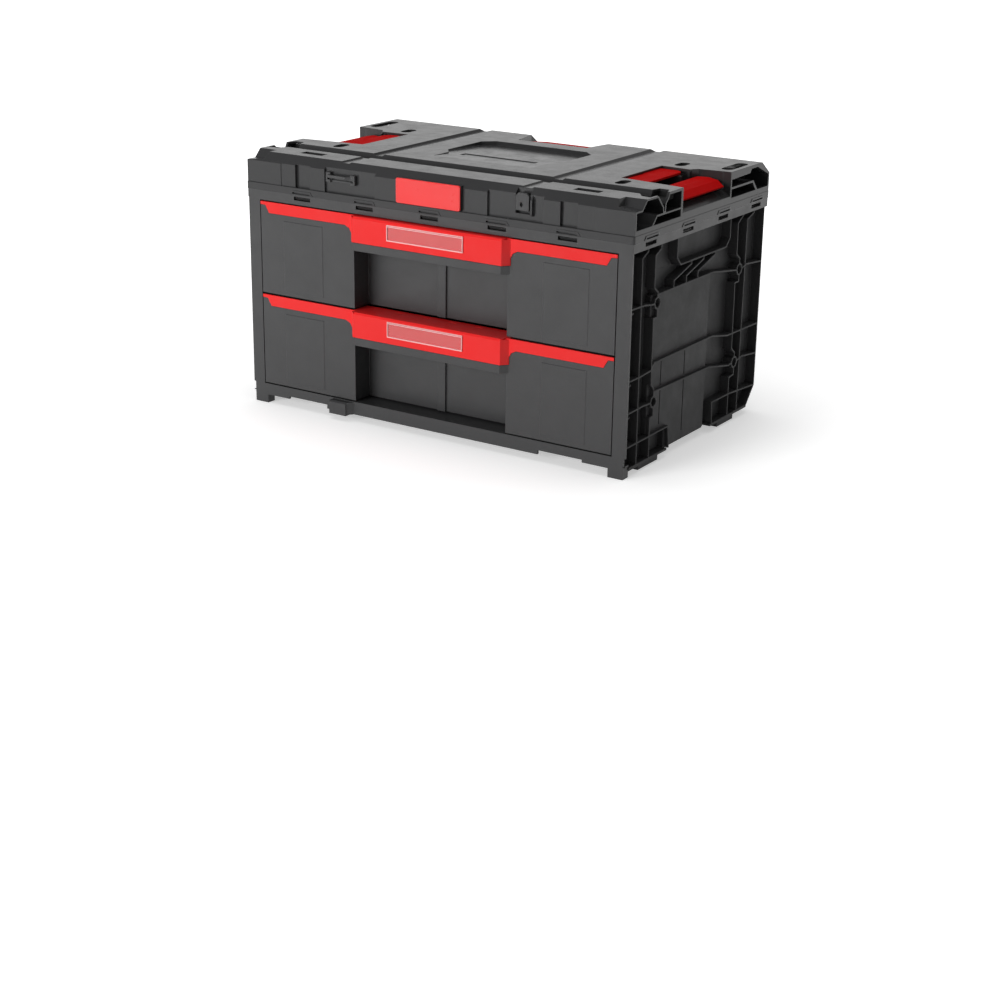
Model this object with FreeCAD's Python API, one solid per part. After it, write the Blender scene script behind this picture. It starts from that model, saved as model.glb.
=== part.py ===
import FreeCAD, Part
import math
import os

# Stackable box with two drawers, in millimetres.
# Work frame: X to the right, Y into the box from the front face of the lid lip,
# Z up from the soles of the feet. save() shifts Y so that the origin is at the
# centre of the footprint.

V = FreeCAD.Vector

# Driving sizes of the whole box
flange_width = 576.0        # front frame of the case, outside
lip_overhang = 2.0          # lip of the lid beyond the front frame, each side
lip_depth = 360.0           # lip front to lip back
lip_top = 298.5             # top of the lip above the floor
lip_height = 9.0
lid_rise = 40.0             # end pads above the top of the lip
handle_reach = 8.0          # handles stand in front of the lip
wall = 2.5                  # moulded wall
rib = 2.0                   # moulded rib
fit = 0.3                   # gap between pieces that move past each other

# Case
frame_front = 1.5           # front frame behind the lip
frame_thick = 3.5
post_width = 18.5           # upright posts beside the drawer opening
opening_bottom = 27.0
opening_top = 276.5
post_cover = 2.0            # post beyond the inside of the side wall
case_back_inset = 9.5       # outer face of the back wall before the back of the lip
rib_inset = 1.0             # side ribs behind the edge of the front frame
rim_reach = 1.0             # rim band beyond the edge of the front frame
rim_drop = 11.5             # height of the rim band
rim_back_inset = 1.5        # back of the rim band before the back of the lip
rear_flange_inset = 4.5     # back edge of the ribs on the back wall
base_z = 12.5               # lower edge of the side walls
skirt_thick = 3.0

# Drawers
front_height = 121.7
front_pitch = 124.25        # lower front to upper front
front_bottom = 28.9
front_gap = 1.3             # beside each drawer front
front_face = 1.5
front_back = 35.0           # rear of the front panel
recess_width = 233.0        # finger recess in the front
recess_face = 32.0          # its back wall
band_drop = 43.7            # grip band below the top of the front
trim_thick = 2.5
trim_drop = 14.5            # red strip height at the sides
trim_centre_drop = 33.0     # red strip height in the middle
trim_half = 113.0           # half width of the bulged middle
slide_space = 13.5          # between the tray and the side wall
tray_back_gap = 14.5        # tray before the back wall's outer face
tray_wall = 2.4
tray_top_gap = 12.0         # tray rim below the top of the front
tray_bottom_gap = 2.6
window_width = 115.0
window_height = 20.4
window_thick = 1.6

# Ball slides
slide_centre = 53.4         # above the bottom of each front
slide_height = 27.0
slide_gap = 2.0             # slide behind the front panel
slide_end_gap = 3.0         # slide ends before the rear of the tray
slide_sheet = 1.2
slide_depth = 9.2           # depth of each channel
ball_r = 1.25
cage_length = 64.0
cage_setback = 113.0        # cage behind the front end of the slide
cage_sheet = 0.8
screw_r = 2.0
screw_head_r = 4.0
screw_fit = 0.05

# Side wall ribs: depths from the lip, heights from the floor
rib_a = 28.5
rib_b = 61.0
rib_c = 279.5
rib_d = 305.5
boss_front = 70.0
boss_setback = 43.0         # rear bosses before the rear ends of the slides
boss_r = 8.5
boss_bore_r = 6.0
boss_core = 6.0             # solid root of each boss
panel_above = 10.0          # raised panel above the upper slide
panel_out = 8.0             # raised panel of the side wall beyond its plate
panel_rear = 216.0
panel_front_low = 108.5     # front of its lower part
panel_foot = 41.0           # lower edge of its front part
pocket_front = 116.0        # hand-hold
pocket_rear = 258.0
pocket_bottom = 243.0

# Lid
lid_front = 3.2
lid_back_inset = 2.0        # back of the lid before the back of its lip
lid_inset = 0.5             # end faces of the lid behind its lip
front_wall_rise = 28.5
ledge_front = 14.5
ledge_back = 56.0
plate_front = 84.8
plate_back_inset = 23.0     # top plate ends before the back of the lid
lid_wall = 3.0
lip_corner = 3.0            # round corners of the lip
groove_inset = 145.0        # grooves beside the end pads, inside the end of the lid
groove_width = 16.5
groove_depth = 3.4
groove_fall = 1.4           # fall of the grooves towards the back
dish_depth = 5.5            # dish at its back edge
pad_holes = [105, 258]      # depths of the oblong holes in the end pads
corner_inset = 28.5         # lower corners of the front ledge, inside the end of the lid
channel_bottom = 19.0
cell_depth = 34.0
bay_inset = 92.0            # inner side of the latch bay, inside the end of the lid
bay_front = 118.5
bay_rear = 246.0
bay_floor = 17.0
notch_half = 54.0
notch_length = 68.0         # from the back of the lid
notch_floor = 18.0
clip_pitch = 99.7
side_clip_front = 43.5
side_clip_rear = 35.7       # last clip before the back of the lip
side_clips = 4
clip_half = 13.3
clip_slit_half = 14.2
clip_sheet = 2.0            # thickness of the clip tongue
arch_rise = 0.6             # raised arch over each clip

# Latches
lever_inset = 39.5          # lever axis inside the end of the lid
lever_axis_z = 25.5         # above the lip top
pin_r = 2.0
pin_fit = 0.06
hook_top = 37.0
hook_thick = 3.0
lock_x = 133.8              # middle of the lock slider
lock_half = 9.3
lock_gap = 1.2              # beside the slider
lock_bottom = 11.3
lock_travel = 3.0
lock_back = 12.2            # rear of the lock slider
recess_step = 3.0           # recesses and grooves in the front wall of the lid
groove_step = 4.0
rear_latch_half = 42.4
rear_axis_inset = 17.0      # rear latch pin before the back of the lid
rear_axis_z = 25.0

# Plain red plate on the front of the lid
nameplate_half = 48.0
nameplate_height = 31.2

# Values worked out from the driving sizes
lip_width = flange_width + 2 * lip_overhang
opening_width = flange_width - 2 * post_width
front_width = opening_width - 2 * front_gap
skin_in = opening_width / 2 + post_cover
skin_out = skin_in + wall
tray_width = 2 * (skin_in - slide_space)
rib_out = flange_width / 2 - rib_inset
rim_out = flange_width / 2 + rim_reach
lid_half = lip_width / 2 - lid_inset
bay_inner = lid_half - bay_inset
lever_axis_x = lid_half - lever_inset
corner_start = lid_half - corner_inset
groove_out = lid_half - groove_inset
groove_in = groove_out - groove_width
rim_top = lip_top - lip_height
rim_bottom = rim_top - rim_drop
front_shift = (handle_reach + window_thick - lip_depth - arch_rise) / 2
clip_inside = frame_front + frame_thick + fit
case_back = lip_depth - case_back_inset
rim_back = lip_depth - rim_back_inset
rear_flange = lip_depth - rear_flange_inset
lid_back = lip_depth - lid_back_inset
plate_back = lid_back - plate_back_inset
notch_front = lid_back - notch_length
rear_axis_y = lid_back - rear_axis_inset
side_clip_pitch = (lip_depth - side_clip_front - side_clip_rear) / (side_clips - 1)
tray_back = case_back - tray_back_gap
slide_front = front_back + slide_gap
slide_length = tray_back - slide_end_gap - slide_front
boss_rear = slide_front + slide_length - boss_setback
cage_front = slide_front + cage_setback
slide_z = [front_bottom + slide_centre, front_bottom + front_pitch + slide_centre]


def box(x0, x1, y0, y1, z0, z1):
    return Part.makeBox(x1 - x0, y1 - y0, z1 - z0, V(x0, y0, z0))


def polygon_face(points):
    return Part.Face(Part.makePolygon(points + [points[0]]))


def prism_x(yz, x0, x1):
    return polygon_face([V(x0, y, z) for y, z in yz]).extrude(V(x1 - x0, 0, 0))


def prism_y(xz, y0, y1):
    return polygon_face([V(x, y0, z) for x, z in xz]).extrude(V(0, y1 - y0, 0))


def prism_z(xy, z0, z1):
    return polygon_face([V(x, y, z0) for x, y in xy]).extrude(V(0, 0, z1 - z0))


def rod(start, direction, radius, length):
    return Part.makeCylinder(radius, length, V(*start), V(*direction))


def flat_rod(start, radius, length, sides=6):
    """Many-sided rod along X, with a corner at the top."""
    x, y, z = start
    angles = [2 * math.pi * i / sides for i in range(sides)]
    corners = [(y + radius * math.sin(a), z + radius * math.cos(a)) for a in angles]
    return prism_x(corners, x, x + length)


def oblong_z(cx, cy, width, length, z0, z1, steps=7):
    """Upright slot along Y with round ends, each in a few flat steps."""
    radius = width / 2
    reach = length / 2 - radius
    turns = [math.pi * i / steps for i in range(steps + 1)]
    rear = [(cx + radius * math.cos(t), cy + reach + radius * math.sin(t)) for t in turns]
    front = [(2 * cx - x, 2 * cy - y) for x, y in rear]
    return prism_z(rear + front, z0, z1)


def rounded_corners(half, depth, radius, steps=4):
    """Outline of a plate from -half to half, its corners rounded in a few flat steps."""
    turns = [math.pi / 2 * i / steps for i in range(steps + 1)]
    right = [(half - radius + radius * math.sin(t), radius - radius * math.cos(t)) for t in turns]
    right += [(x, depth - y) for x, y in reversed(right)]
    return right + [(-x, y) for x, y in reversed(right)]


def fuse(shapes):
    shapes = list(shapes)
    return shapes[0].fuse(shapes[1:]).removeSplitter()


def cut(shape, tools):
    return shape.cut(list(tools)).removeSplitter()


def mirrored(shape):
    return shape.mirror(V(0, 0, 0), V(1, 0, 0))


def both_sides(shapes):
    shapes = list(shapes)
    return shapes + [mirrored(shape) for shape in shapes]


def strip(points, thickness):
    """Outline of a wall of even thickness along a bent line, with mitred corners."""
    left, right = [], []
    count = len(points)
    for i, (a, b) in enumerate(points):
        before = points[max(i - 1, 0)]
        after = points[min(i + 1, count - 1)]
        normals = []
        for start, end in ((before, (a, b)), ((a, b), after)):
            length = math.hypot(end[0] - start[0], end[1] - start[1])
            if length:
                normals.append((-(end[1] - start[1]) / length, (end[0] - start[0]) / length))
        nx = sum(n[0] for n in normals) / len(normals)
        ny = sum(n[1] for n in normals) / len(normals)
        scale = thickness / 2 / (nx * nx + ny * ny)
        left.append((a + nx * scale, b + ny * scale))
        right.append((a - nx * scale, b - ny * scale))
    return left + right[::-1]


def round_lip(shapes):
    """Copies of shapes made at x = 0 on the front, at every clip round the lip."""
    places = []
    for i in range(-2, 3):
        places.append((0, (i * clip_pitch, 0, 0)))
        places.append((180, (i * clip_pitch, lip_depth, 0)))
    for i in range(side_clips):
        y = side_clip_front + i * side_clip_pitch
        places.append((90, (lip_width / 2, y, 0)))
        places.append((-90, (-lip_width / 2, y, 0)))
    copies = []
    for turn, move in places:
        for shape in shapes:
            copy = shape.copy()
            copy.rotate(V(0, 0, 0), V(0, 0, 1), turn)
            copy.translate(V(*move))
            copies.append(copy)
    return copies


def rib_wall(points, x0=skin_out - 1, x1=rib_out, thickness=rib):
    return prism_x(strip(points, thickness), x0, x1)


# Case

def side_ribs():
    """Ribs, bosses and the hand-hold of the right side wall."""
    low, high = slide_z
    front = frame_front + frame_thick - 1
    rear = rear_flange - 1
    base = base_z - 1
    top = rim_bottom + 1
    pocket_step = 10.0
    panel_top = high + panel_above
    panel_rise = high - 74.5
    panel_low = panel_rise - 9.5
    lines = [
        # upright ribs, each with a kink below the rim and round the bosses
        [(rib_a + 14, top), (rib_a + 13, top - 5), (rib_a, top - 11), (rib_a + 3, base)],
        [(rib_d + 20, top), (rib_d + 19, top - 4), (rib_d + 1, top - 10), (rib_d - 1, base)],
        [(rib_b + 14, top), (rib_b + 13, top - 7), (rib_b, top - 13), (rib_b, high + 20),
         (boss_front, high + 13), (boss_front, high + 7)],
        [(boss_front, high - 7), (boss_front, high - 18), (rib_b, high - 18),
         (rib_b + 1, low + 24), (boss_front, low + 16), (boss_front, low + 7)],
        [(boss_front, low - 7), (boss_front, low - 18), (rib_b + 1, low - 19), (rib_b + 2, base)],
        [(rib_c + 18, top), (rib_c, top - 11), (rib_c + 1, high + 21), (boss_rear, high + 14),
         (boss_rear, high + 7)],
        [(boss_rear, high - 7), (boss_rear, high - 16), (rib_c, high - 16), (rib_c + 1, low + 20),
         (boss_rear, low + 13), (boss_rear, low + 7)],
        [(boss_rear, low - 7), (boss_rear, low - 17), (rib_c - 2, low - 18), (rib_c - 2, base)],
        # level ribs at the upper and the lower slide
        [(front, high + 4), (38, high + 3), (57, high), (boss_front - 7, high)],
        [(boss_rear + 7, high), (rib_d + 6, high + 3), (rear, high - 1)],
        [(boss_front + 1, panel_top), (215, panel_top), (boss_rear - 7, high)],
        [(front, panel_low), (35, panel_low), (60, panel_low + 1.5), (68, panel_rise),
         (221, panel_rise), (265, panel_low + 1), (rear, panel_low - 1)],
        [(front, low), (45, low + 1), (boss_front - 7, low)],
        [(boss_front + 1, low + 12.6), (panel_rear, low + 9.9), (boss_rear - 16, low - 1),
         (boss_rear - 7, low)],
        [(boss_rear + 7, low), (rib_d + 6, low + 3), (rear, low - 2)],
        # lower boxes
        [(front, 39.5), (111, 40.5), (115, base)],
        [(233, base), (230, 41.5), (rib_c, 41.5), (rear, 36)],
        # hand-hold
        [(pocket_front, top), (pocket_front, pocket_bottom + pocket_step),
         (pocket_front + pocket_step, pocket_bottom), (pocket_rear - pocket_step, pocket_bottom),
         (pocket_rear, pocket_bottom + pocket_step), (pocket_rear, top)],
        # rear edge with the slanted lower corner
        [(rear, top), (rear, 36), (rear - 21.5, base_z - 0.5), (rear - 59.5, base_z - 0.5)],
    ]
    for start in (155, 187, 218):
        lines.append([(start, pocket_bottom), (start, pocket_bottom - 4),
                      (start - 45, pocket_bottom - 17), (start - 45, panel_top)])
    # short ribs below the level ones, behind the front frame
    for height in (high + 4, panel_low, low):
        lines.append([(front, height - 6), (front + 7, height - 5)])
    solids = [rib_wall(line) for line in lines]
    for depth in (boss_front, boss_rear):
        for height in (low, high):
            solids.append(flat_rod((skin_out - 1, depth, height), boss_r, rib_out - skin_out + 1, 8))
    # raised plain panel
    outline = [(skin_out - 1, rib_b), (skin_out + panel_out, rib_b), (skin_out + panel_out, panel_rear),
               (skin_out - 1, panel_rear + 12)]
    solids.append(prism_z(outline, panel_foot, panel_top))
    outline[0], outline[1] = (skin_out - 1, panel_front_low), (skin_out + panel_out, panel_front_low)
    solids.append(prism_z(outline, base_z, panel_foot + 1))
    return solids


def panel_cuts():
    """Hollow behind the raised panel, and the slots in its face."""
    low, high = slide_z
    face = skin_out + panel_out
    back = face - wall
    rear = panel_rear - wall
    hollow = box(skin_in - 1, back, boss_front + boss_r + 3, rear, panel_foot + wall,
                 high + panel_above - wall)
    lower = box(skin_in - 1, back, panel_front_low + wall, rear, base_z + wall, panel_foot + wall + 1)
    middle = (low + rib + 12.6, high - 74.5 - rib)
    slots = [box(back - 1, face + 1, y - 1, y + 1, z0, z1)
             for y, z0, z1 in ((95, *middle), (157, *middle), (95, 46, low + 9.6), (157, 22, low + 9.6))]
    return [hollow, lower] + slots


def boss_holes():
    """Blind bores of the bosses and the screw holes through their roots."""
    holes = []
    for depth in (boss_front, boss_rear):
        for height in slide_z:
            holes.append(flat_rod((skin_out + boss_core, depth, height), boss_bore_r,
                                  rib_out - skin_out, 8))
            holes.append(flat_rod((skin_in - 1, depth, height), screw_r + screw_fit, boss_core + 6))
    return holes


def whole_side_wall(shell):
    """Right side wall with its ribs, bosses, skid and lower flange, fitted to the rest of the case."""
    parts = [
        box(skin_in, skin_out, frame_front + frame_thick, case_back - wall, base_z,
            rim_top - skirt_thick),
        box(skin_in, skin_out, case_back, rear_flange, 36, rim_bottom + 1),
        # gusset behind the corner foot, front and rear skid
        box(skin_in - 2, rib_out - 1.5, 14, 50, 7.5, base_z),
        box(skin_in - 3, rib_out - 5, 46, 96, 0, base_z),
        box(skin_in - 3, rib_out - 5, 259, 305, 0, base_z),
        # lower flange
        box(skin_in - 3, rib_out, 14, 110, base_z - 3, base_z),
        box(skin_in - 3, rib_out, 229, case_back - 16.5, base_z - 3, base_z),
        box(skin_in - 3, skin_out, 110, 230, 5.5, base_z + 1),
    ]
    return cut(fuse(parts + side_ribs()), shell + panel_cuts() + boss_holes())


def side_wall(shell):
    """Right side wall in three pieces that touch: lower part, hand-hold, and the ribs beside that."""
    wall_shape = whole_side_wall(shell)
    height = pocket_bottom - rib / 2
    front, rear = pocket_front - rib / 2, pocket_rear + rib / 2
    lower = wall_shape.common(box(0, flange_width, 0, lip_depth, 0, height))
    hold = wall_shape.common(box(0, flange_width, front, rear, height, lip_top))
    beside = [wall_shape.common(box(0, flange_width, y0, y1, height, lip_top))
              for y0, y1 in ((0, front), (rear, lip_depth))]
    return {"side_wall": lower, "hand_hold": hold, "upper_ribs": Part.makeCompound(beside)}


def front_frame():
    """Posts, top bar and bottom rail round the drawers, with the corner feet."""
    half = flange_width / 2
    opening = opening_width / 2
    rail_back = frame_front + frame_thick
    body = [
        box(-half, -opening, frame_front, rail_back, 15.0, rim_top),
        box(opening, half, frame_front, rail_back, 15.0, rim_top),
        box(-half, half, frame_front, rail_back, opening_top, rim_top),
        # bottom rail, lower in the middle and beside the feet
        box(-skin_out, skin_out, frame_front, rail_back, 15.0, opening_bottom),
        box(-164, 164, frame_front, rail_back, 9.5, 16.0),
        # hooking block at the left of the rail
        prism_x([(-handle_reach, 8), (-handle_reach, 24), (-handle_reach + 2, 26),
                 (frame_front + 1, 26), (frame_front + 1, 8)], -153.5, -126.5),
        prism_z([(-127, -handle_reach + 1), (-127, frame_front + 1), (-119, frame_front + 1)], 9.5, 26),
    ]
    # lower steps of the rail and the corner feet
    body += both_sides([box(skin_in - 43.5, skin_in - 5.5, frame_front, rail_back, 11.5, 16.0),
                        box(skin_in - 7, rib_out - 1.5, frame_front, 15.0, 0, 16.0)])
    # the posts are narrower beside the bottom rail
    tools = both_sides([box(half - 2.5, half + 1, 0, rail_back + 0.5, 16.0, opening_bottom)])
    return cut(fuse(body), tools + clip_windows())


def case_floor():
    """Floor with its stiffening ribs."""
    y0, y1 = frame_front + frame_thick, case_back - wall
    z0 = opening_bottom - wall
    body = [box(-skin_in, skin_in, y0, y1, z0, opening_bottom)]
    for x in (-150, 0, 150):
        body.append(box(x - rib / 2, x + rib / 2, y0, y1, base_z, z0 + 1))
    for y in (90, 180, 270):
        body.append(box(-skin_in, skin_in, y - rib / 2, y + rib / 2, base_z, z0 + 1))
    return fuse(body)


def back_wall():
    """Back wall with its ribs, up to the rim band."""
    body = [box(-skin_out, skin_out, case_back - wall, case_back, base_z, rim_bottom)]
    for x in (-220, -110, 0, 110, 220):
        body.append(box(x - rib / 2, x + rib / 2, case_back - 1, rear_flange, base_z, rim_bottom))
    for z in slide_z:
        body.append(box(-skin_out, skin_out, case_back - 1, rear_flange, z - rib / 2, z + rib / 2))
    body.append(box(-rib_out, rib_out, rear_flange - rib, rear_flange, 36, 40))
    return fuse(body)


def clip_windows():
    """Windows in the rim band for the clips of the lid, and slots that their tongues pass through."""
    window = box(-clip_half, clip_half, 0, clip_inside + clip_sheet + fit, lip_top - 16.4, lip_top - 11.6)
    slot = box(-clip_half, clip_half, clip_inside - fit / 2, clip_inside + clip_sheet + fit,
               lip_top - 16.4, rim_top + 1)
    return round_lip([window.fuse(slot)])


def rim_band(frame):
    """Top ledge of the case with a skirt that hangs from it on the sides and the back."""
    inner = skin_in - 3
    y0 = frame_front
    ledge = box(-rim_out, rim_out, y0, rim_back, rim_top - skirt_thick, rim_top)
    ledge = ledge.cut(box(-inner, inner, 14, case_back - wall - 3, 0, rim_top + 1))
    skirt = box(-rim_out, rim_out, y0, rim_back, rim_bottom, rim_top)
    skirt_in = rim_out - skirt_thick
    skirt = skirt.cut(box(-skirt_in, skirt_in, y0 + skirt_thick, case_back - wall, 0, rim_top + 1))
    skirt = skirt.cut(box(-skirt_in, skirt_in, case_back, rim_back - skirt_thick, 0, rim_top + 1))
    return cut(fuse([ledge, skirt]), [frame] + clip_windows())


# Lid

def lid_profile(top, ledge):
    """Cross-section of the lid from front to back, with the stacking channel."""
    z = lip_top
    return [(lid_front, z - 1), (lid_front, z + front_wall_rise),
            (ledge_front - (lid_rise - 0.5 - ledge), z + ledge), (ledge_back, z + ledge),
            (70.5, z + 24), (71.2, z + channel_bottom), (73.4, z + channel_bottom),
            (74, z + 27.5), (plate_front - 4, z + 34), (plate_front - 1, z + top),
            (plate_back, z + top), (lid_back, z + 24), (lid_back, z - 1)]


def lid_section(top, ledge, inset=0.0):
    """Face of the lid's cross-section, whole or one wall further in."""
    points = [V(0, y, z) for y, z in lid_profile(top, ledge)]
    wire = Part.makePolygon(points + [points[0]])
    if inset:
        wire = wire.makeOffset2D(-inset, 2)
    return Part.Face(wire)


def end_cells():
    """Open hollows in the right end face of the lid."""
    z = lip_top
    x0, x1 = lid_half - cell_depth, lid_half + 2
    front_cell = [(5.2, 6), (5.2, 26.5), (18.8, 26.5), (29.8, 37.5), (55.1, 37.5), (68.6, 23.1),
                  (69.3, 17.3), (54, 17.3), (43, 6)]
    second_cell = [(75.5, 17), (76, 26.7), (82.4, 32.8), (84.6, 37), (114, 37), (114, 17)]
    lower_cell = [(46, 6), (55, 15), (114, 15), (114, 6)]
    front, rear = bay_rear + 3, lid_back
    rear_upper = [(front, 20.5), (front, 30), (rear - 57, 31), (rear - 54, 36), (rear - 36, 36),
                  (rear - 3.4, 22.4), (rear - 3.4, 7), (rear - 34.5, 7), (rear - 47, 20.5)]
    rear_lower = [(front, 7), (front, 17.8), (rear - 49, 17.8), (rear - 39.4, 7)]
    cells = [front_cell, second_cell, lower_cell, rear_upper, rear_lower]
    return [prism_x([(y, z + h) for y, h in cell], x0, x1) for cell in cells]


def latch_bay():
    """Open bay at the right end of the lid for the lever and the hook."""
    z = lip_top
    axis = lever_axis_x
    out = lid_half + 2
    bay = prism_z([(bay_inner, 130), (out, bay_front), (out, bay_rear), (axis + 30, bay_rear),
                   (axis + 27, 245.2), (axis - 4, 241.5), (axis - 11, 231), (bay_inner, 234)],
                  z + bay_floor, z + lid_rise + 2)
    # room for the hook under the pad
    under = box(bay_inner - 23.5, bay_inner + 36.5, 124, 233.5, z + hook_top - hook_thick - fit,
                z + hook_top + fit)
    # sloped outer edge of the bay floor
    slope = prism_y([(out, z + 8), (out, z + bay_floor + 1), (axis + 28, z + bay_floor + 1),
                     (axis + 28, z + bay_floor)], bay_front, bay_rear)
    return [bay, under, slope]


def front_wall_cuts():
    """Recesses and grooves in the front wall of the lid."""
    z = lip_top
    top = z + lid_rise + 2
    cuts = both_sides([
        box(84.5, 163.5, lid_front - 1, lid_front + recess_step, z, top),
        box(bay_inner - 10, bay_inner + 13.5, lid_front - 1, lid_front + groove_step, z,
            z + front_wall_rise + 1),
    ])
    # pocket of the lock slider, open at the top
    reach = lock_half + lock_gap
    cuts.append(box(lock_x - reach, lock_x + reach, lid_front - 1, lock_back + fit,
                    z + lock_bottom - lock_travel - 0.8, top))
    # lower corners, where the front feet of a box above stand
    corner = prism_x([(0, z + front_wall_rise), (18, z + front_wall_rise), (29, z + lid_rise - 0.5),
                      (29, top), (0, top)], corner_start - 2, lid_half + 2)
    slanted = prism_y([(corner_start - 1, top), (corner_start + 4, z + front_wall_rise + 2.5),
                       (lid_half + 2, z + front_wall_rise), (lid_half + 2, top)], -1, 30)
    return cuts + both_sides([corner.common(slanted)])


def groove_cuts():
    """Bevelled grooves between the middle of the lid and its ends, deeper towards the back."""
    z = lip_top + lid_rise
    slope = 1.45
    high, low = 2.0, groove_depth - groove_fall
    section = [(groove_in - high * slope, z + high), (groove_in + low * slope, z - low),
               (groove_out - low * slope, z - low), (groove_out + high * slope, z + high)]
    face = polygon_face([V(x, 0, height) for x, height in section])
    return both_sides([face.extrude(V(0, lip_depth, -groove_fall))])


def plate_cuts():
    """Holes, slots and the dish in the top of the lid."""
    z = lip_top
    top = z + lid_rise + 1
    cuts = []
    for y in pad_holes:
        cuts += both_sides([oblong_z(lid_half - 75.5, y, 14.5, 27, z + 31, top)])
    cuts += both_sides([oblong_z(lid_half - 14.5, bay_rear + 39, 16, 56, z + 34, top)])
    cuts += both_sides([box(bay_inner - 9, bay_inner + 26, 29.5, 43, z + 32, top)])
    # pockets at both ends of the stacking channel, in the ledge and in the end pads
    end = lid_half - 3
    cuts += both_sides([
        prism_z([(end - 23.5, ledge_back + 2), (end - 13, 44), (end, 42), (end, ledge_back + 2)], z + 31, top),
        prism_z([(end - 20, plate_front - 6), (end - 20, plate_front), (end - 17, 96), (end - 4, 96),
                 (end, plate_front), (end, plate_front - 6)], z + 31, top),
    ])
    # dish with its floor rising to the front, and a shallow bare field in it
    plate = z + lid_rise
    dish = prism_z([(-70.5, 262), (-86, 247), (-86, 168), (-74, 152), (-74, 118), (74, 118), (74, 152),
                    (86, 168), (86, 247), (70.5, 262)], z + 25, top)
    floor = prism_x([(117, plate), (263, plate - dish_depth), (263, top), (117, top)], -95, 95)
    cuts.append(dish.common(floor))
    cuts.append(box(-56, 56, 150, 165, z + 37.4, top))
    # rear notch for the rear latch
    cuts.append(prism_z([(-notch_half, notch_front), (notch_half, notch_front),
                         (notch_half, lid_back + 3), (-notch_half, lid_back + 3)], z + notch_floor, top))
    cuts += both_sides([prism_z([(notch_half - 1, notch_front), (notch_half + 7, plate_back),
                                 (notch_half + 7, lid_back + 3), (notch_half - 1, lid_back + 3)],
                                z + rear_axis_z + 4, top)])
    return cuts


def lid_hollows():
    """Hollows under the lid: its own section one wall further in, between upright ribs."""
    z, z0 = lip_top, lip_top - lip_height - 1
    rise = z + lid_rise + 2
    full = lid_section(lid_rise, lid_rise - 0.5, lid_wall)
    under_groove = lid_section(lid_rise - groove_depth, lid_rise - groove_depth, lid_wall)
    hollows = []
    under_pads = ((1, 44), (46, 89), (91, groove_in - 4), (groove_out + 6, bay_inner - 26.5),
                  (bay_inner - 23.5, lever_axis_x + 2))
    for section, spans in ((full, under_pads), (under_groove, ((groove_in - 2, groove_out + 4),))):
        for x0, x1 in spans:
            hollow = section.extrude(V(x1 - x0, 0, 0))
            hollow.translate(V(x0, 0, 0))
            hollows.append(hollow)
            hollows.append(box(x0, x1, lid_front + 5.3, lid_back - 7, z0, z + 4))
    # what stays solid behind the recesses of the front wall, and round the bays, the dish and the notch
    kept = [box(81.5, bay_inner + 17, 0, lid_front + groove_step + lid_wall, z0, rise),
            box(lock_x - lock_half - 8, lock_x + lock_half + 8, 0, lock_back + fit + lid_wall, z0, rise),
            box(bay_inner - 25.5, lever_axis_x + 4, 115.5, bay_rear + lid_wall, z0, rise),
            box(0, 90, 113, 267, z + 30.5, rise),
            box(0, notch_half + 7 + lid_wall, notch_front - lid_wall, lid_back,
                z + notch_floor - lid_wall, rise),
            box(0, notch_half + 8, rear_axis_y - 6, rear_axis_y + 6, z, rise)]
    # cups under the holes of the pads and the slots of the ledge
    kept += [box(lid_half - 86, lid_half - 65, y - 17, y + 17, z + 28, rise) for y in pad_holes]
    kept.append(box(bay_inner - 12, bay_inner + 29, 26.5, 46, z + 29, rise))
    hollows = both_sides([fuse(hollows).cut(kept)])
    # under the latch bays and under the end cells
    hollows += both_sides([
        prism_y([(bay_inner - 23.5, z0), (lid_half - 8.5, z0), (lid_half - 8.5, z + 9),
                 (lid_half - 12.5, z + 14), (bay_inner - 23.5, z + 14)], 121.5, 236),
        box(bay_inner - 23.5, bay_inner - lid_wall, 127, 229, z, z + 27.6),
        box(lid_half - 33.5, lid_half - 8.5, 12, 113, z0, z + 3.5),
        box(lid_half - 33.5, lid_half - 8.5, bay_rear + 6, lid_back - 13, z0, z + 4),
    ])
    return hollows


def clip_arch(half_low, half_high, depth):
    """Raised arch round a clip slit on the lip, at x = 0."""
    z = lip_top
    return prism_y([(-half_low, z - 8.2), (-half_high, z - 3.2), (half_high, z - 3.2),
                    (half_low, z - 8.2)], -depth, 1)


def clip_parts():
    """Clip at x = 0 on the front: arch, slit, tongue with its catch."""
    z = lip_top
    arch = clip_arch(18.8, 15.1, arch_rise)
    slit = box(-clip_slit_half, clip_slit_half, -2, 2.2, z - 7.6, z - 5.6)
    catch = frame_front + 1.2
    tongue = prism_x([(clip_inside, z - lip_height + 1), (clip_inside, z - 12.6), (catch, z - 12.6),
                      (clip_inside, z - 15.9), (clip_inside + clip_sheet, z - 15.9),
                      (clip_inside + clip_sheet, z - lip_height + 1)], -clip_half + 1, clip_half - 1)
    return arch, slit, tongue


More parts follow.
